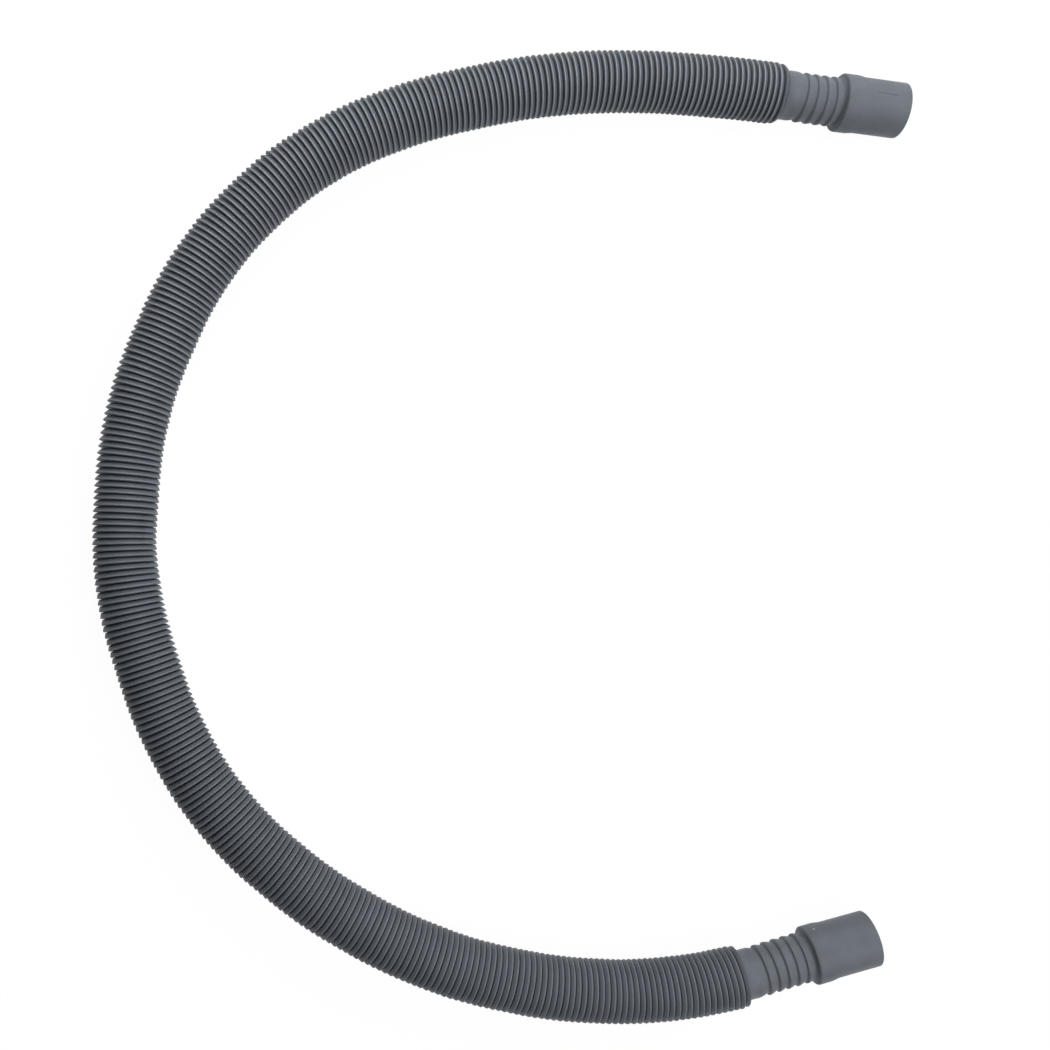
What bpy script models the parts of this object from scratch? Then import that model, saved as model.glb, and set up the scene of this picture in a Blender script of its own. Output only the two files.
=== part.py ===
"""Extension for a washing machine's drain hose, lying flat in an open bend.

The hose is one piece of moulded plastic. Each end is a plain round cuff that pushes over a
spout or takes another hose's end, followed by rings that let it flex and by a smooth collar.
The rings rise slowly and drop sharply on the side away from the cuff. Closely packed folds,
which lean towards the second end in the same way, make up all the rest.

The hose is turned straight along Z, as one closed profile, and then bent along the route
that its centre line takes over the floor.
"""

import math

import bpy
from mathutils import Vector

# Every length is in metres. The first end is the one that the route starts from.

# Cuff
CUFF_LENGTH = 0.0367
CUFF_RADIUS = 0.0146
MOUTH_ROUND = 0.0011
BAND_LENGTH = 0.0120
BAND_RADIUS = 0.0152
BAND_RAMP = 0.0040
SHOULDER_ROUND = 0.0012
SHOULDER_DRAFT = 0.0005
SOCKET_RADIUS = 0.0112
SOCKET_CHAMFER = 0.0008

# Rings between the cuff and the collar
FIRST_RING_COUNT = 4
SECOND_RING_COUNT = 5
RING_PITCH = 0.0055
RING_CREST_RADIUS = 0.0129
RING_ROOT_RADIUS = 0.0115
RING_LEAN = 0.86
RING_LIP = 0.0008
NECK_BORE_RADIUS = 0.0100

# Collar between the rings and the folds
COLLAR_LENGTH = 0.0109
COLLAR_RISE = 0.0045
COLLAR_RADIUS = 0.0127

# Folds
FOLD_PITCH = 0.00313
FOLD_CREST_RADIUS = 0.0160
END_FOLD_RADIUS = 0.0154
FOLD_ROOT_RADIUS = 0.0136
FOLD_LEAN = 0.90
FOLD_BORE_RADIUS = 0.0124

# Facets
SIDES = 8
ARC_STEPS = 3
BORE_STEP = 0.018

# Centre line over the floor, from the first mouth round the bend to the second
ROUTE = (
    (0.2166, 0.2347),
    (0.1800, 0.2376),
    (0.1640, 0.2387),
    (0.1479, 0.2404),
    (0.1050, 0.2429),
    (0.0620, 0.2430),
    (0.0190, 0.2390),
    (-0.0229, 0.2301),
    (-0.0635, 0.2170),
    (-0.1020, 0.1975),
    (-0.1352, 0.1707),
    (-0.1625, 0.1375),
    (-0.1820, 0.0995),
    (-0.1955, 0.0585),
    (-0.2007, 0.0160),
    (-0.1998, -0.0269),
    (-0.1900, -0.0685),
    (-0.1740, -0.1085),
    (-0.1505, -0.1445),
    (-0.1203, -0.1747),
    (-0.0855, -0.2000),
    (-0.0475, -0.2200),
    (-0.0070, -0.2340),
    (0.0350, -0.2422),
    (0.0780, -0.2437),
    (0.1211, -0.2382),
    (0.1423, -0.2334),
    (0.1588, -0.2298),
    (0.1930, -0.2224),
)

PLASTIC_HEX = "6C727B"
PLASTIC_ROUGHNESS = 0.5

OBJECT_NAME = "drain_hose_extension"
ROUTE_NAME = "route"
ROUTE_RESOLUTION = 12
WELD_DISTANCE = 0.00005


def remove_old_objects():
    for item in list(bpy.data.objects):
        bpy.data.objects.remove(item, do_unlink=True)


def new_collection(name):
    collection = bpy.data.collections.new(name)
    bpy.context.scene.collection.children.link(collection)
    return collection


def linear_colour(hex_text):
    """An sRGB hex colour as linear red, green, blue and alpha."""
    channels = []
    for start in (0, 2, 4):
        value = int(hex_text[start:start + 2], 16) / 255.0
        if value <= 0.04045:
            channels.append(value / 12.92)
        else:
            channels.append(((value + 0.055) / 1.055) ** 2.4)
    return (*channels, 1.0)


def plastic_material():
    material = bpy.data.materials.new("grey_polypropylene")
    material.use_nodes = True
    shader = material.node_tree.nodes["Principled BSDF"]
    shader.inputs["Base Color"].default_value = linear_colour(PLASTIC_HEX)
    shader.inputs["Roughness"].default_value = PLASTIC_ROUGHNESS
    shader.inputs["Metallic"].default_value = 0.0
    return material


def route_curve(collection):
    """The centre line, at the height of the folds' crest over the floor."""
    data = bpy.data.curves.new(ROUTE_NAME, "CURVE")
    data.dimensions = "3D"
    data.twist_mode = "Z_UP"
    data.resolution_u = ROUTE_RESOLUTION
    spline = data.splines.new("BEZIER")
    spline.bezier_points.add(len(ROUTE) - 1)
    for knot, (x, y) in zip(spline.bezier_points, ROUTE):
        knot.co = Vector((x, y, FOLD_CREST_RADIUS))
        knot.handle_left_type = "AUTO"
        knot.handle_right_type = "AUTO"
    guide = bpy.data.objects.new(ROUTE_NAME, data)
    guide.hide_render = True
    guide.display_type = "WIRE"
    collection.objects.link(guide)
    return guide


def arc_points(centre, radius, start_degrees, end_degrees, steps):
    """Points of an arc as (distance from the axis, distance from the mouth)."""
    points = []
    for index in range(steps + 1):
        share = index / steps
        angle = math.radians(start_degrees + (end_degrees - start_degrees) * share)
        across = centre[0] + radius * math.cos(angle)
        along = centre[1] + radius * math.sin(angle)
        points.append((across, along))
    return points


def cuff_outline():
    """The cuff's outside, from the mouth's face to the foot of its shoulder."""
    band_start = CUFF_LENGTH - BAND_LENGTH
    edge_centre = (CUFF_RADIUS - MOUTH_ROUND, MOUTH_ROUND)
    shoulder_centre = (BAND_RADIUS - SHOULDER_ROUND, CUFF_LENGTH - SHOULDER_ROUND)
    points = arc_points(edge_centre, MOUTH_ROUND, -90, 0, ARC_STEPS - 1)
    points.append((CUFF_RADIUS, band_start))
    points.append((BAND_RADIUS, band_start + BAND_RAMP))
    points += arc_points(shoulder_centre, SHOULDER_ROUND, 0, 90, ARC_STEPS)
    return points


def rings_start():
    """Distance from the mouth to the foot of the shoulder, where the rings begin."""
    return CUFF_LENGTH + SHOULDER_DRAFT


def ring_outline(ring_count):
    """Rings that rise slowly away from the cuff and then drop sharply."""
    points = []
    for index in range(ring_count):
        root = rings_start() + RING_PITCH * index
        crest = root + RING_PITCH * RING_LEAN
        points.append((RING_ROOT_RADIUS, root))
        points.append((RING_CREST_RADIUS, crest - RING_LIP))
        points.append((RING_CREST_RADIUS, crest))
    return points


def collar_outline(ring_count):
    """The collar's outside, from the last groove to where the folds begin."""
    start = rings_start() + RING_PITCH * ring_count
    return [
        (RING_ROOT_RADIUS, start),
        (COLLAR_RADIUS, start + COLLAR_RISE),
        (COLLAR_RADIUS, start + COLLAR_LENGTH),
    ]


def end_outline(ring_count):
    points = cuff_outline()
    points += ring_outline(ring_count)
    points += collar_outline(ring_count)
    return points


def end_bore(ring_count):
    """The inside of one end, from the mouth's face to where the folds begin."""
    end_length = rings_start() + RING_PITCH * ring_count + COLLAR_LENGTH
    socket_step = SOCKET_RADIUS - NECK_BORE_RADIUS
    fold_step = FOLD_BORE_RADIUS - NECK_BORE_RADIUS
    return [
        (SOCKET_RADIUS + SOCKET_CHAMFER, 0.0),
        (SOCKET_RADIUS, SOCKET_CHAMFER),
        (SOCKET_RADIUS, CUFF_LENGTH - socket_step),
        (NECK_BORE_RADIUS, CUFF_LENGTH),
        (NECK_BORE_RADIUS, end_length),
        (FOLD_BORE_RADIUS, end_length + fold_step),
    ]


def fold_outline(start, length):
    """The folds' outside: each rises slowly to its crest and drops sharply behind it."""
    count = max(2, round(length / FOLD_PITCH))
    pitch = length / count
    points = []
    for index in range(count):
        root = start + pitch * index
        crest_radius = END_FOLD_RADIUS if index in (0, count - 1) else FOLD_CREST_RADIUS
        if index > 0:
            points.append((FOLD_ROOT_RADIUS, root))
        points.append((crest_radius, root + pitch * FOLD_LEAN))
    return points


def fold_bore(start, length):
    """The plain bore through the folds, with enough stations to follow the bend."""
    count = max(1, math.ceil(length / BORE_STEP))
    points = []
    for index in range(1, count):
        points.append((FOLD_BORE_RADIUS, start + length * index / count))
    return points


def hose_profile(hose_length):
    """The closed section of the straight hose as (radius, height) pairs."""
    first_outside = end_outline(FIRST_RING_COUNT)
    second_outside = end_outline(SECOND_RING_COUNT)
    folds_start = first_outside[-1][1]
    folds_length = hose_length - folds_start - second_outside[-1][1]

    outside = list(first_outside)
    outside += fold_outline(folds_start, folds_length)
    outside += [(across, hose_length - along) for across, along in reversed(second_outside)]

    first_inside = end_bore(FIRST_RING_COUNT)
    second_inside = end_bore(SECOND_RING_COUNT)
    inside = list(first_inside)
    inside += fold_bore(folds_start, folds_length)
    inside += [(across, hose_length - along) for across, along in reversed(second_inside)]
    return list(reversed(outside)) + inside


def hose_object(collection, guide):
    """The profile turned about Z and bent along the route."""
    hose_length = guide.data.splines[0].calc_length()
    profile = hose_profile(hose_length)
    mesh = bpy.data.meshes.new(OBJECT_NAME)
    corners = [(across, 0.0, along) for across, along in profile]
    edges = [(index, (index + 1) % len(corners)) for index in range(len(corners))]
    mesh.from_pydata(corners, edges, [])
    mesh.materials.append(plastic_material())
    hose = bpy.data.objects.new(OBJECT_NAME, mesh)
    collection.objects.link(hose)

    turn = hose.modifiers.new("turn", "SCREW")
    turn.axis = "Z"
    turn.angle = math.tau
    turn.steps = SIDES
    turn.render_steps = SIDES
    turn.use_merge_vertices = True
    turn.merge_threshold = WELD_DISTANCE
    turn.use_smooth_shade = True

    bend = hose.modifiers.new("bend", "CURVE")
    bend.object = guide
    bend.deform_axis = "POS_Z"
    return hose


def main():
    remove_old_objects()
    parts = new_collection("washing_machine_hose_extension")
    guides = new_collection("guides")
    guide = route_curve(guides)
    bpy.context.view_layer.update()
    hose_object(parts, guide)


main()
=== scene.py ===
"""Looks of a washing machine's drain hose extension, lying on a pale floor.

The hose is one blown piece: a plain cuff, rings and a collar at each end, and thin folds
between them. It is drawn straight along Z as a closed section and turned about that axis. The
folds are then packed on the inner side of the bend, given the unevenness of a blown wall, and
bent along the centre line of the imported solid.
"""

import math

import bpy
import numpy as np
from mathutils import Euler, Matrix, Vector

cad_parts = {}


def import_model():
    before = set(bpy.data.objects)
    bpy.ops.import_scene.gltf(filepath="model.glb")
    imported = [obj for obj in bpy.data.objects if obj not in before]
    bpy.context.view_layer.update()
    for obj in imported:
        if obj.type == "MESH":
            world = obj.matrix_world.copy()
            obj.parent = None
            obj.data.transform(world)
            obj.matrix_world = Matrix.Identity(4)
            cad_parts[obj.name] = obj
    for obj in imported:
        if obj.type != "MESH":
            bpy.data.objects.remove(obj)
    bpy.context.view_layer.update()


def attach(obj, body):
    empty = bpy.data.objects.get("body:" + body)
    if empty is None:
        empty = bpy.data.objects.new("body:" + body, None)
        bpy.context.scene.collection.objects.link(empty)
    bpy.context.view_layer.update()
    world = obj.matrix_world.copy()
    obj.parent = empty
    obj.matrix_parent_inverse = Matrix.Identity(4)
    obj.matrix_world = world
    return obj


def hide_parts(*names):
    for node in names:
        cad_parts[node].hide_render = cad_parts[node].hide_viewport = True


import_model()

# Every length is in metres. The first end is the one that the route starts from.
MM = 0.001

# Cuff
CUFF_LENGTH = 36.7 * MM
CUFF_RADIUS = 14.6 * MM
MOUTH_ROUND = 0.6 * MM
MOUTH_SETBACK = 0.05 * MM
BAND_LENGTH = 12.0 * MM
BAND_RADIUS = 15.2 * MM
BAND_RAMP = 4.0 * MM
SHOULDER_ROUND = 1.2 * MM
SHOULDER_DRAFT = 0.5 * MM
SOCKET_RADIUS = 11.2 * MM
SOCKET_CHAMFER = 0.8 * MM

# Rings between the cuff and the collar
FIRST_RING_COUNT = 4
SECOND_RING_COUNT = 5
RING_PITCH = 5.5 * MM
RING_CREST_RADIUS = 12.9 * MM
RING_ROOT_RADIUS = 11.5 * MM
NECK_BORE_RADIUS = 10.0 * MM

# Collar between the rings and the folds
COLLAR_LENGTH = 10.9 * MM
COLLAR_RADIUS = 12.7 * MM

# Folds
FOLD_PITCH = 3.13 * MM
FOLD_CREST_RADIUS = 15.98 * MM
FOLD_ROOT_RADIUS = 13.1 * MM
END_FOLD_SHARE = 0.80

# One ring and one fold as (share of the pitch, share of the height), away from the cuff for a
# ring and from the first end for a fold. Both rise slowly and drop sharply. A packed fold
# leans on the next one, so that only a slit stays between them.
RING_SHAPE = (
    (0.00, 0.00),
    (0.10, 0.20),
    (0.30, 0.52),
    (0.52, 0.79),
    (0.70, 0.95),
    (0.78, 1.00),
    (0.84, 0.97),
    (0.88, 0.75),
    (0.92, 0.20),
)
COLLAR_SHAPE = ((0.00, 0.00), (0.08, 0.25), (0.22, 0.70), (0.36, 0.95), (0.45, 1.00))
OPEN_FOLD = (
    (-0.08, 0.00),
    (0.05, 0.42),
    (0.29, 0.66),
    (0.52, 0.86),
    (0.68, 0.99),
    (0.77, 1.00),
    (0.85, 0.80),
)
PACKED_FOLD = (
    (-0.01, 0.25),
    (0.06, 0.72),
    (0.30, 0.85),
    (0.55, 0.95),
    (0.76, 1.00),
    (0.87, 0.98),
    (0.95, 0.74),
)
FOLD_INSIDE = ((-0.06, -0.22), (0.68, 0.62))

# How far the folds are packed, as (distance along the hose, share)
PACKED_ALL_ROUND = ((0.66, 0.0), (0.73, 0.2), (0.81, 0.5), (0.89, 0.65), (1.03, 0.65))
PACKED_INSIDE = (
    (0.09, 0.0),
    (0.20, 0.85),
    (0.542, 0.85),
    (0.548, 1.0),
    (0.582, 1.0),
    (0.592, 0.2),
    (0.66, 0.3),
    (0.75, 0.9),
)
PACKED_OUTSIDE = ((0.54, 0.0), (0.58, 1.0))
PACKED_FROM = 0.70

# Unevenness of the blown wall: single folds that shift, drop and tip, with the tip drifting
# over a run of folds, and two slow waves, as (length along the hose, lobes round it)
FOLD_SHIFT = 0.08 * MM
SHIFT_SEED = 7
FOLD_DROP = 0.10 * MM
FOLD_TIP = 0.12 * MM
FOLD_TIP_RUN = 5
SETTLE_SEED = 8
WALL_WAVE_DEPTH = 0.10 * MM
WALL_WAVES = ((61.0 * MM, 2.0), (23.0 * MM, -3.0))

# A dent on the inner side of the bend
DENT_PLACE = 0.565
DENT_REACH = 0.020
DENT_DEPTH = 0.70 * MM

# How far the hose wanders outwards from its centre line, as (distance along the hose, shift)
WANDER = (
    (0.35, 0.0),
    (0.40, -0.15 * MM),
    (0.47, 0.0),
    (0.54, 0.0),
    (0.60, -0.3 * MM),
    (0.66, -0.2 * MM),
    (0.72, 0.1 * MM),
    (0.77, 0.35 * MM),
    (0.86, 0.4 * MM),
    (0.90, 0.0),
    (0.94, -0.2 * MM),
    (0.975, 0.0),
    (1.01, 0.4 * MM),
    (1.035, 0.2 * MM),
    (1.06, 0.0),
)

# Facets
SIDES = 34
MOUTH_STEPS = 4
SHOULDER_STEPS = 5

# Centre line over the floor, from the first mouth round the bend to the second
ROUTE = (
    (0.2166, 0.2347),
    (0.1800, 0.2376),
    (0.1640, 0.2387),
    (0.1479, 0.2404),
    (0.1050, 0.2429),
    (0.0620, 0.2430),
    (0.0190, 0.2390),
    (-0.0229, 0.2301),
    (-0.0635, 0.2170),
    (-0.1020, 0.1975),
    (-0.1352, 0.1707),
    (-0.1625, 0.1375),
    (-0.1820, 0.0995),
    (-0.1955, 0.0585),
    (-0.2007, 0.0160),
    (-0.1998, -0.0269),
    (-0.1900, -0.0685),
    (-0.1740, -0.1085),
    (-0.1505, -0.1445),
    (-0.1203, -0.1747),
    (-0.0855, -0.2000),
    (-0.0475, -0.2200),
    (-0.0070, -0.2340),
    (0.0350, -0.2422),
    (0.0780, -0.2437),
    (0.1211, -0.2382),
    (0.1423, -0.2334),
    (0.1588, -0.2298),
    (0.1930, -0.2224),
)
AXIS_HEIGHT = 16.0 * MM
ROUTE_RESOLUTION = 12
WELD_DISTANCE = 0.05 * MM

# Plastic: colours from a groove's floor to a crest, as (share of the depth, sRGB hex). The
# grooves are painted near black as shade, and the crests are painted pale, partly as rubbed
# plastic and partly as a painted highlight. The plain ends have one share all over. The crests
# are palest near the first end: their share of the depth stops at a limit, as (distance along
# the hose, limit).
DEPTH_SHADE_AND_HIGHLIGHT_COLOURS = (
    (0.0, "0C0F12"),
    (0.30, "32373D"),
    (0.56, "6F757E"),
    (0.86, "6F757E"),
    (0.97, "B2B8BF"),
)
PLAIN_END_SHARE = 0.88
RUBBED_AND_HIGHLIGHT_LIMIT = ((0.40, 1.0), (0.56, 0.90))

# Cloudiness of the filled plastic and grain of the mould. The real grain is about 0.1 mm, and
# is drawn coarser so that it shows.
CLOUD_SIZE = 14.0 * MM
CLOUD_TONE = 0.06
GRAIN_SIZE = 0.5 * MM
GRAIN_TONE = 0.10
GRAIN_HEIGHT = 0.15 * MM
NOISE_DETAIL = 2.0
NOISE_LOW = 0.3
NOISE_HIGH = 0.7

# Gloss of polypropylene, which the grain scatters to about half
ROUGHNESS = 0.50
GLOSS_SIZE = 6.0 * MM
GLOSS_CHANGE = 0.06
PLASTIC_IOR = 1.49
GLOSS_LEVEL = 0.25

# Parting line of the mould, at this angle round from the outer side of the bend. It is full
# strength over the core of its width, and shows only where a slow noise is above nought.
LINE_DEGREES = 84.0
LINE_WIDTH = 0.30 * MM
LINE_CORE_SHARE = 0.3
LINE_HEIGHT = 0.12 * MM
LINE_BREAK = 7.0 * MM
LINE_SHOWN_LOW = -1.2
LINE_SHOWN_HIGH = 1.6
LINE_HEX = "4E545B"

# Speck of filler on the second cuff, placed on the straight hose
SPECK_DEGREES = 166.0
SPECK_FROM_MOUTH = 31.3 * MM
SPECK_RADIUS = 0.7 * MM
SPECK_CORE_SHARE = 0.6
SPECK_HEX = "D8DADC"

# Floor and light. The paper's glow and its own lit tone add up to just over full white, so
# that only the hose's faint shadow falls below it.
FLOOR_SIZE = 6.0
PAPER_HEX = "A0A0A0"
PAPER_ROUGHNESS = 0.9
PAPER_GLOW = 1.21
PAPER_GLOW_SHARE = 0.80
WORLD_STRENGTH = 0.02

# Soft boxes, as (name, place, size, power): two close, at the open side and over the first
# end's side of the bend, and two farther off, low on the first end's side and high over the
# second end
SOFT_BOXES = (
    ("open_box", (0.40, 0.20, 0.45), 0.25, 0.53),
    ("bend_box", (-0.14, 0.40, 0.45), 0.25, 0.66),
    ("first_box", (0.20, 1.13, 0.61), 0.60, 4.8),
    ("second_box", (0.53, -0.53, 1.06), 0.60, 5.1),
)

# Camera
CAMERA_PLACE = (-0.0906, -0.0114, 0.5639)
CAMERA_TILT = (math.radians(1.5), math.radians(-7.0), 0.0)
CAMERA_LENS = 36.0
CAMERA_SENSOR = 36.0
PHOTO_WIDTH = 1050.0
CAMERA_SHIFT = 50.0 / PHOTO_WIDTH


def linear_colour(hex_text):
    """An sRGB hex colour as linear red, green, blue and alpha."""
    channels = []
    for start in (0, 2, 4):
        value = int(hex_text[start:start + 2], 16) / 255.0
        if value <= 0.04045:
            channels.append(value / 12.92)
        else:
            channels.append(((value + 0.055) / 1.055) ** 2.4)
    return (*channels, 1.0)


def deselect_all():
    for item in bpy.context.selected_objects:
        item.select_set(False)


def arc_points(centre, radius, start_degrees, end_degrees, steps):
    """Points of an arc as (distance from the axis, distance from the mouth)."""
    points = []
    for index in range(steps + 1):
        share = index / steps
        angle = math.radians(start_degrees + (end_degrees - start_degrees) * share)
        across = centre[0] + radius * math.cos(angle)
        along = centre[1] + radius * math.sin(angle)
        points.append((across, along))
    return points


def cuff_outline():
    """The cuff's outside, from the mouth's face to the foot of its shoulder."""
    band_start = CUFF_LENGTH - BAND_LENGTH
    edge_centre = (CUFF_RADIUS - MOUTH_ROUND, MOUTH_SETBACK + MOUTH_ROUND)
    shoulder_centre = (BAND_RADIUS - SHOULDER_ROUND, CUFF_LENGTH - SHOULDER_ROUND)
    points = arc_points(edge_centre, MOUTH_ROUND, -90, 0, MOUTH_STEPS)
    points.append((CUFF_RADIUS, band_start))
    points.append((BAND_RADIUS, band_start + BAND_RAMP))
    points += arc_points(shoulder_centre, SHOULDER_ROUND, 0, 90, SHOULDER_STEPS)
    return points


def rings_start():
    """Distance from the mouth to the foot of the shoulder, where the rings begin."""
    return CUFF_LENGTH + SHOULDER_DRAFT


def end_length(ring_count):
    """Distance from the mouth to where the folds begin."""
    return rings_start() + RING_PITCH * ring_count + COLLAR_LENGTH


def ring_outline(ring_count):
    height = RING_CREST_RADIUS - RING_ROOT_RADIUS
    points = []
    for index in range(ring_count):
        root = rings_start() + RING_PITCH * index
        for along, rise in RING_SHAPE:
            points.append((RING_ROOT_RADIUS + height * rise, root + RING_PITCH * along))
    return points


def collar_outline(ring_count):
    start = rings_start() + RING_PITCH * ring_count
    height = COLLAR_RADIUS - RING_ROOT_RADIUS
    points = []
    for along, rise in COLLAR_SHAPE:
        points.append((RING_ROOT_RADIUS + height * rise, start + COLLAR_LENGTH * along))
    points.append((COLLAR_RADIUS, start + COLLAR_LENGTH))
    return points


def end_outline(ring_count):
    points = cuff_outline()
    points += ring_outline(ring_count)
    points += collar_outline(ring_count)
    return points


def end_bore(ring_count):
    """The inside of one end, from the mouth's face to where the folds begin."""
    step = SOCKET_RADIUS - NECK_BORE_RADIUS
    return [
        (SOCKET_RADIUS + SOCKET_CHAMFER, MOUTH_SETBACK),
        (SOCKET_RADIUS, SOCKET_CHAMFER),
        (SOCKET_RADIUS, CUFF_LENGTH - step),
        (NECK_BORE_RADIUS, CUFF_LENGTH),
        (NECK_BORE_RADIUS, end_length(ring_count) - step),
    ]


def fold_count(hose_length):
    folds_length = hose_length - end_length(FIRST_RING_COUNT) - end_length(SECOND_RING_COUNT)
    return round(folds_length / FOLD_PITCH)


def fold_pitch(hose_length):
    folds_length = hose_length - end_length(FIRST_RING_COUNT) - end_length(SECOND_RING_COUNT)
    return folds_length / fold_count(hose_length)


def fold_points(shape, hose_length):
    """One face of the folds' wall, fold after fold, each with its own small shift."""
    start = end_length(FIRST_RING_COUNT)
    count = fold_count(hose_length)
    pitch = fold_pitch(hose_length)
    shifts = np.random.default_rng(SHIFT_SEED).uniform(-FOLD_SHIFT, FOLD_SHIFT, count)
    shifts[0] = 0.0
    shifts[-1] = 0.0
    points = []
    for index in range(count):
        height = FOLD_CREST_RADIUS - FOLD_ROOT_RADIUS
        if index in (0, count - 1):
            height *= END_FOLD_SHARE
        for along, rise in shape:
            place = start + pitch * (index + along) + shifts[index]
            points.append((FOLD_ROOT_RADIUS + height * rise, place))
    return points


def hose_profile(hose_length, fold_shape):
    """The closed section of the straight hose as (radius, height) pairs."""
    outside = end_outline(FIRST_RING_COUNT)
    outside += fold_points(fold_shape, hose_length)[1:]
    second_outside = end_outline(SECOND_RING_COUNT)
    outside += [(across, hose_length - along) for across, along in reversed(second_outside)]

    inside = end_bore(FIRST_RING_COUNT)
    inside += fold_points(FOLD_INSIDE, hose_length)
    second_inside = end_bore(SECOND_RING_COUNT)
    inside += [(across, hose_length - along) for across, along in reversed(second_inside)]
    return list(reversed(outside)) + inside


def route_curve():
    data = bpy.data.curves.new("route", "CURVE")
    data.dimensions = "3D"
    data.twist_mode = "Z_UP"
    data.resolution_u = ROUTE_RESOLUTION
    spline = data.splines.new("BEZIER")
    spline.bezier_points.add(len(ROUTE) - 1)
    for knot, (x, y) in zip(spline.bezier_points, ROUTE):
        knot.co = Vector((x, y, AXIS_HEIGHT))
        knot.handle_left_type = "AUTO"
        knot.handle_right_type = "AUTO"
    guide = bpy.data.objects.new("route", data)
    bpy.context.scene.collection.objects.link(guide)
    return guide


def apply_modifier(item, name):
    deselect_all()
    item.select_set(True)
    bpy.context.view_layer.objects.active = item
    bpy.ops.object.modifier_apply(modifier=name)


def vertex_places(mesh):
    places = np.empty(len(mesh.vertices) * 3, dtype=np.float32)
    mesh.vertices.foreach_get("co", places)
    return places.reshape(-1, 3).astype(float)


def keep_straight_places(mesh, hose_length):
    """Attributes for the material: straight place, share of the depth, and the first cuff."""
    places = vertex_places(mesh)
    radius = np.hypot(places[:, 0], places[:, 1])
    along = places[:, 2]
    first_end = along < end_length(FIRST_RING_COUNT) + WELD_DISTANCE
    second_end = along > hose_length - end_length(SECOND_RING_COUNT) - WELD_DISTANCE
    crest = (radius - FOLD_ROOT_RADIUS) / (FOLD_CREST_RADIUS - FOLD_ROOT_RADIUS)
    # Past a point along the hose, the crests' painted highlight and rubbed paleness stop at a
    # limit.
    crest = np.clip(crest, 0.0, share_along(RUBBED_AND_HIGHLIGHT_LIMIT, along))
    crest = np.where(first_end | second_end, PLAIN_END_SHARE, crest)

    straight = mesh.attributes.new("straight", "FLOAT_VECTOR", "POINT")
    straight.data.foreach_set("vector", places.astype(np.float32).ravel())
    on_cuff = np.where(along < CUFF_LENGTH, 1.0, 0.0)
    for name, values in (("crest", crest), ("first_cuff", on_cuff)):
        attribute = mesh.attributes.new(name, "FLOAT", "POINT")
        attribute.data.foreach_set("value", values.astype(np.float32))


def share_along(table, along):
    return np.interp(along, [place for place, value in table], [value for place, value in table])


def packed_share(turn, along):
    """How far a point's fold is packed: 0 is open and 1 leans on the next fold."""
    inner = np.clip((np.cos(turn) - PACKED_FROM) / (1.0 - PACKED_FROM), 0.0, 1.0)
    outer = np.clip((-np.cos(turn) - PACKED_FROM) / (1.0 - PACKED_FROM), 0.0, 1.0)
    share = share_along(PACKED_ALL_ROUND, along)
    share = np.maximum(share, share_along(PACKED_INSIDE, along) * inner)
    return np.maximum(share, share_along(PACKED_OUTSIDE, along) * outer)


def smooth_random(count, random):
    """Values of about -1 to 1 that drift from one fold to the next."""
    values = random.uniform(-1.0, 1.0, count + FOLD_TIP_RUN - 1)
    drift = np.convolve(values, np.ones(FOLD_TIP_RUN) / FOLD_TIP_RUN, "valid")
    return drift / np.abs(drift).max()


def settle_folds(mesh, hose_length):
    """The straight hose's wall as it lies: packed, uneven, dented and wandering."""
    places = vertex_places(mesh)
    turn = np.arctan2(places[:, 1], places[:, 0])
    radius = np.hypot(places[:, 0], places[:, 1])
    along = places[:, 2]
    fold_start = end_length(FIRST_RING_COUNT)
    fold_end = hose_length - end_length(SECOND_RING_COUNT)
    on_folds = np.clip((np.minimum(along - fold_start, fold_end - along)) / FOLD_PITCH, 0.0, 1.0)
    rise = np.clip((radius - FOLD_ROOT_RADIUS) / (FOLD_CREST_RADIUS - FOLD_ROOT_RADIUS), 0.0, 1.0)

    packed = np.array(hose_profile(hose_length, PACKED_FOLD))
    row = np.arange(len(places)) % len(packed)
    share = packed_share(turn, along)
    new_radius = radius + share * (packed[row, 0] - radius)
    new_along = along + share * (packed[row, 1] - along)

    random = np.random.default_rng(SETTLE_SEED)
    count = fold_count(hose_length)
    drops = random.uniform(0.0, FOLD_DROP, count)
    tips = FOLD_TIP * smooth_random(count, random)
    side_tips = FOLD_TIP * smooth_random(count, random)
    fold = np.clip(((along - fold_start) / fold_pitch(hose_length)).astype(int), 0, count - 1)
    new_radius -= on_folds * rise * drops[fold]
    new_along += on_folds * (tips[fold] * np.sin(turn) + side_tips[fold] * np.cos(turn))

    wave = np.zeros(len(places))
    for length, lobes in WALL_WAVES:
        wave += np.sin(along / length * math.tau + lobes * turn)
    wave_share = (wave / len(WALL_WAVES) + 1.0) / 2.0
    new_radius -= on_folds * WALL_WAVE_DEPTH * wave_share

    dent = np.exp(-((along - DENT_PLACE) / DENT_REACH) ** 2)
    new_radius -= DENT_DEPTH * dent * np.clip(np.cos(turn), 0.0, 1.0) ** 2

    places[:, 0] = new_radius * np.cos(turn) - share_along(WANDER, along)
    places[:, 1] = new_radius * np.sin(turn)
    places[:, 2] = new_along
    mesh.vertices.foreach_set("co", places.astype(np.float32).ravel())
    mesh.update()


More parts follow.
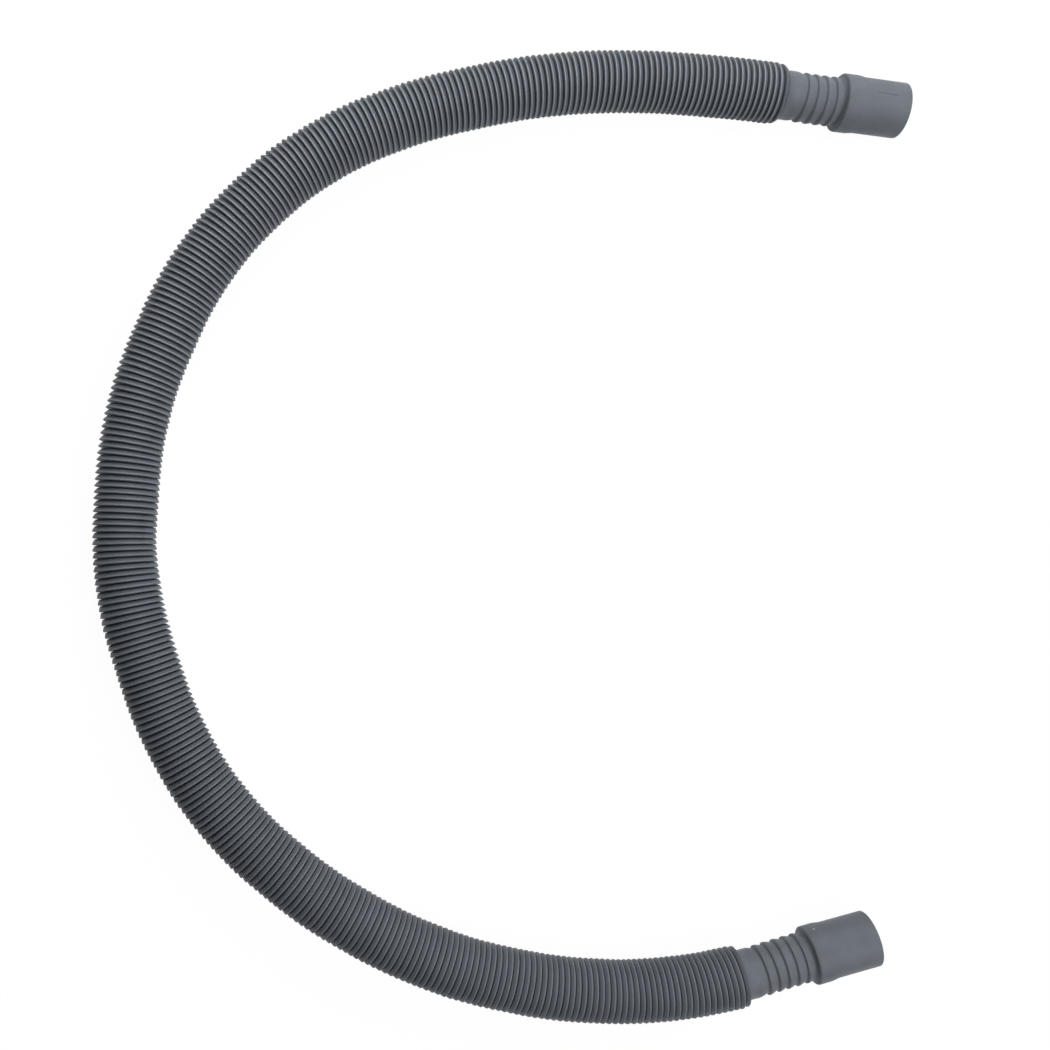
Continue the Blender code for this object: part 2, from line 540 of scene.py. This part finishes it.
def hose_piece():
    guide = route_curve()
    bpy.context.view_layer.update()
    hose_length = guide.data.splines[0].calc_length()
    profile = hose_profile(hose_length, OPEN_FOLD)
    mesh = bpy.data.meshes.new("folded_hose")
    corners = [(across, 0.0, along) for across, along in profile]
    edges = [(index, (index + 1) % len(corners)) for index in range(len(corners))]
    mesh.from_pydata(corners, edges, [])
    hose = bpy.data.objects.new("folded_hose", mesh)
    bpy.context.scene.collection.objects.link(hose)

    turn = hose.modifiers.new("turn", "SCREW")
    turn.axis = "Z"
    turn.angle = math.tau
    turn.steps = SIDES
    turn.render_steps = SIDES
    turn.use_merge_vertices = True
    turn.merge_threshold = WELD_DISTANCE
    turn.use_smooth_shade = True
    apply_modifier(hose, "turn")
    keep_straight_places(hose.data, hose_length)
    settle_folds(hose.data, hose_length)

    bend = hose.modifiers.new("bend", "CURVE")
    bend.object = guide
    bend.deform_axis = "POS_Z"
    apply_modifier(hose, "bend")
    bpy.data.objects.remove(guide, do_unlink=True)
    return hose, hose_length


def add_node(tree, kind, settings=(), inputs=()):
    """One node with its settings; an input takes a value or another node's output."""
    item = tree.nodes.new(kind)
    for name, value in dict(settings).items():
        setattr(item, name, value)
    for key, value in dict(inputs).items():
        if isinstance(value, bpy.types.NodeSocket):
            tree.links.new(value, item.inputs[key])
        else:
            item.inputs[key].default_value = value
    return item


def noise_tone(tree, place, size, low, high):
    """A tone that wanders between two values over patches of the given size."""
    noise = add_node(
        tree,
        "ShaderNodeTexNoise",
        {},
        {"Vector": place, "Scale": 1.0 / size, "Detail": NOISE_DETAIL},
    )
    tone = add_node(
        tree,
        "ShaderNodeMapRange",
        {},
        {
            "Value": noise.outputs["Fac"],
            "From Min": NOISE_LOW,
            "From Max": NOISE_HIGH,
            "To Min": low,
            "To Max": high,
        },
    )
    return tone.outputs["Result"]


def parting_line(tree, place, cuff):
    """A broken line along the first cuff's top, where the mould's halves meet."""
    angle = math.radians(LINE_DEGREES)
    offset = add_node(
        tree,
        "ShaderNodeVectorMath",
        {"operation": "DOT_PRODUCT"},
        {0: place, 1: (math.sin(angle), math.cos(angle), 0.0)},
    )
    distance = add_node(
        tree, "ShaderNodeMath", {"operation": "ABSOLUTE"}, {0: offset.outputs["Value"]}
    )
    ridge = add_node(
        tree,
        "ShaderNodeMapRange",
        {},
        {
            "Value": distance.outputs["Value"],
            "From Min": LINE_WIDTH,
            "From Max": LINE_WIDTH * LINE_CORE_SHARE,
        },
    )
    shown = noise_tone(tree, place, LINE_BREAK, LINE_SHOWN_LOW, LINE_SHOWN_HIGH)
    clear = add_node(
        tree, "ShaderNodeMath", {"operation": "MULTIPLY", "use_clamp": True}, {0: shown, 1: cuff}
    )
    line = add_node(
        tree,
        "ShaderNodeMath",
        {"operation": "MULTIPLY", "use_clamp": True},
        {0: ridge.outputs["Result"], 1: clear.outputs["Value"]},
    )
    return line.outputs["Value"]


def pale_speck(tree, place, hose_length):
    """One pale grain of filler, on the second cuff's band."""
    angle = math.radians(SPECK_DEGREES)
    across = (-BAND_RADIUS * math.cos(angle), BAND_RADIUS * math.sin(angle))
    speck_place = (*across, hose_length - SPECK_FROM_MOUTH)
    distance = add_node(
        tree, "ShaderNodeVectorMath", {"operation": "DISTANCE"}, {0: place, 1: speck_place}
    )
    speck = add_node(
        tree,
        "ShaderNodeMapRange",
        {},
        {
            "Value": distance.outputs["Value"],
            "From Min": SPECK_RADIUS,
            "From Max": SPECK_RADIUS * SPECK_CORE_SHARE,
        },
    )
    return speck.outputs["Result"]


def hose_material(hose_length):
    """Blow-moulded polypropylene, filled grey.

    To the eye it is satin and faintly cloudy, with the fine grain of the mould. The crests are
    painted paler, partly as rubbed plastic and partly as a painted highlight, the grooves are
    painted near black as shade, and a parting line shows on one cuff.
    """
    material = bpy.data.materials.new("grey_polypropylene")
    material.use_nodes = True
    tree = material.node_tree
    shader = tree.nodes["Principled BSDF"]
    place = add_node(tree, "ShaderNodeAttribute", {"attribute_name": "straight"}).outputs["Vector"]
    crest = add_node(tree, "ShaderNodeAttribute", {"attribute_name": "crest"}).outputs["Fac"]
    cuff = add_node(tree, "ShaderNodeAttribute", {"attribute_name": "first_cuff"}).outputs["Fac"]

    # Painted shade darkens the grooves, and a painted highlight with some rubbing lightens the
    # crests.
    depth = add_node(tree, "ShaderNodeValToRGB", {}, {"Fac": crest})
    stops = depth.color_ramp.elements
    while len(stops) < len(DEPTH_SHADE_AND_HIGHLIGHT_COLOURS):
        stops.new(1.0)
    for stop, (share, hex_text) in zip(stops, DEPTH_SHADE_AND_HIGHLIGHT_COLOURS):
        stop.position = share
        stop.color = linear_colour(hex_text)

    cloud = noise_tone(tree, place, CLOUD_SIZE, 1.0 - CLOUD_TONE, 1.0 + CLOUD_TONE)
    grain = noise_tone(tree, place, GRAIN_SIZE, 1.0 - GRAIN_TONE, 1.0 + GRAIN_TONE)
    tone = add_node(tree, "ShaderNodeMath", {"operation": "MULTIPLY"}, {0: cloud, 1: grain})
    plastic = add_node(
        tree,
        "ShaderNodeVectorMath",
        {"operation": "SCALE"},
        {"Vector": depth.outputs["Color"], "Scale": tone.outputs["Value"]},
    )
    line = parting_line(tree, place, cuff)
    lined = add_node(
        tree,
        "ShaderNodeMixRGB",
        {},
        {"Fac": line, "Color1": plastic.outputs["Vector"], "Color2": linear_colour(LINE_HEX)},
    )
    specked = add_node(
        tree,
        "ShaderNodeMixRGB",
        {},
        {
            "Fac": pale_speck(tree, place, hose_length),
            "Color1": lined.outputs["Color"],
            "Color2": linear_colour(SPECK_HEX),
        },
    )
    tree.links.new(specked.outputs["Color"], shader.inputs["Base Color"])

    gloss = noise_tone(tree, place, GLOSS_SIZE, ROUGHNESS - GLOSS_CHANGE, ROUGHNESS + GLOSS_CHANGE)
    tree.links.new(gloss, shader.inputs["Roughness"])
    shader.inputs["IOR"].default_value = PLASTIC_IOR
    shader.inputs["Specular IOR Level"].default_value = GLOSS_LEVEL

    grain_bump = add_node(
        tree, "ShaderNodeBump", {}, {"Height": grain, "Strength": 1.0, "Distance": GRAIN_HEIGHT}
    )
    line_bump = add_node(
        tree,
        "ShaderNodeBump",
        {},
        {
            "Height": line,
            "Strength": 1.0,
            "Distance": LINE_HEIGHT,
            "Normal": grain_bump.outputs["Normal"],
        },
    )
    tree.links.new(line_bump.outputs["Normal"], shader.inputs["Normal"])
    return material


def camera():
    data = bpy.data.cameras.new("camera")
    data.lens = CAMERA_LENS
    data.sensor_width = CAMERA_SENSOR
    data.shift_x = CAMERA_SHIFT
    item = bpy.data.objects.new("camera", data)
    item.rotation_mode = "YXZ"
    item.rotation_euler = Euler(CAMERA_TILT, "YXZ")
    item.location = CAMERA_PLACE
    bpy.context.scene.collection.objects.link(item)
    bpy.context.scene.camera = item


def soft_box(name, place, size, power):
    """A square lamp that faces the middle of the floor."""
    data = bpy.data.lights.new(name, "AREA")
    data.shape = "SQUARE"
    data.size = size
    data.energy = power
    item = bpy.data.objects.new(name, data)
    item.location = place
    item.rotation_euler = (-Vector(place)).to_track_quat("-Z", "Y").to_euler()
    bpy.context.scene.collection.objects.link(item)


def seen_by_eye(tree):
    """1 for what the eye sees, also in gloss and through glass, and 0 for light alone."""
    ray = add_node(tree, "ShaderNodeLightPath")
    seen = ray.outputs["Is Camera Ray"]
    for kind in ("Is Glossy Ray", "Is Transmission Ray"):
        either = add_node(
            tree, "ShaderNodeMath", {"operation": "MAXIMUM"}, {0: seen, 1: ray.outputs[kind]}
        )
        seen = either.outputs["Value"]
    return seen


def floor():
    """White paper: full white to the eye and in gloss, and plain paper to the lamps."""
    deselect_all()
    bpy.ops.mesh.primitive_plane_add(size=FLOOR_SIZE, location=(0.0, 0.0, 0.0))
    item = bpy.context.active_object
    item.name = "floor"
    material = bpy.data.materials.new("white_paper_sweep")
    material.use_nodes = True
    tree = material.node_tree
    paper = tree.nodes["Principled BSDF"]
    paper.inputs["Base Color"].default_value = linear_colour(PAPER_HEX)
    paper.inputs["Roughness"].default_value = PAPER_ROUGHNESS
    glow = add_node(tree, "ShaderNodeEmission", {}, {"Strength": PAPER_GLOW})
    share = add_node(
        tree,
        "ShaderNodeMath",
        {"operation": "MULTIPLY"},
        {0: seen_by_eye(tree), 1: PAPER_GLOW_SHARE},
    )
    mix = add_node(
        tree,
        "ShaderNodeMixShader",
        {},
        {0: share.outputs["Value"], 1: paper.outputs["BSDF"], 2: glow.outputs["Emission"]},
    )
    tree.links.new(mix.outputs["Shader"], tree.nodes["Material Output"].inputs["Surface"])
    item.data.materials.append(material)


def world():
    item = bpy.data.worlds.new("studio")
    bpy.context.scene.world = item
    item.use_nodes = True
    tree = item.node_tree
    background = tree.nodes["Background"]
    background.inputs["Color"].default_value = (1.0, 1.0, 1.0, 1.0)
    strength = add_node(
        tree,
        "ShaderNodeMapRange",
        {},
        {"Value": seen_by_eye(tree), "To Min": WORLD_STRENGTH, "To Max": 1.0},
    )
    tree.links.new(strength.outputs["Result"], background.inputs["Strength"])


camera()
hose, hose_length = hose_piece()
hose.data.materials.append(hose_material(hose_length))
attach(hose, "root")
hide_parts("drain_hose_extension")
floor()
world()
for name, place, size, power in SOFT_BOXES:
    soft_box(name, place, size, power)
bpy.context.scene.view_settings.view_transform = "Standard"
